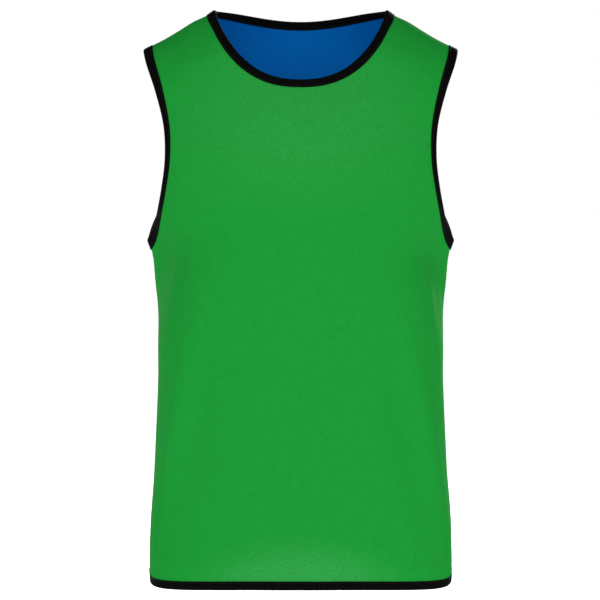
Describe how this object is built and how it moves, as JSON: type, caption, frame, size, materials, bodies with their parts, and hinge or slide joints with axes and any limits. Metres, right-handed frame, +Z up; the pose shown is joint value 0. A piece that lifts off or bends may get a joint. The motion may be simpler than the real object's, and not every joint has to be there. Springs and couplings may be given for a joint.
{
  "type": "training bib",
  "caption": "Sleeveless reversible training bib, green one way out and blue the other, with black folded tape round neck, armholes and hem, filled out as worn.",
  "frame": {"origin": "Halfway between the two points where the neck edge meets the shoulder seams, where the wearer's shoulders hold the bib up.", "axes": "+Z up towards the head, -Y out of the chest to the viewer, +X across to the viewer's right."},
  "size_m": [0.3936, 0.2697, 0.7167],
  "materials": {
    "green_knit": "matt",
    "blue_knit": "matt",
    "black_tape": "matt"
  },
  "bodies": {
    "root": {"outer_front": "green_knit", "outer_back": "green_knit", "inner_front": "blue_knit", "inner_back": "blue_knit", "neck_binding": "black_tape", "armhole_binding_right": "black_tape", "armhole_binding_left": "black_tape", "hem_binding": "black_tape"}
  },
  "joints": []
}
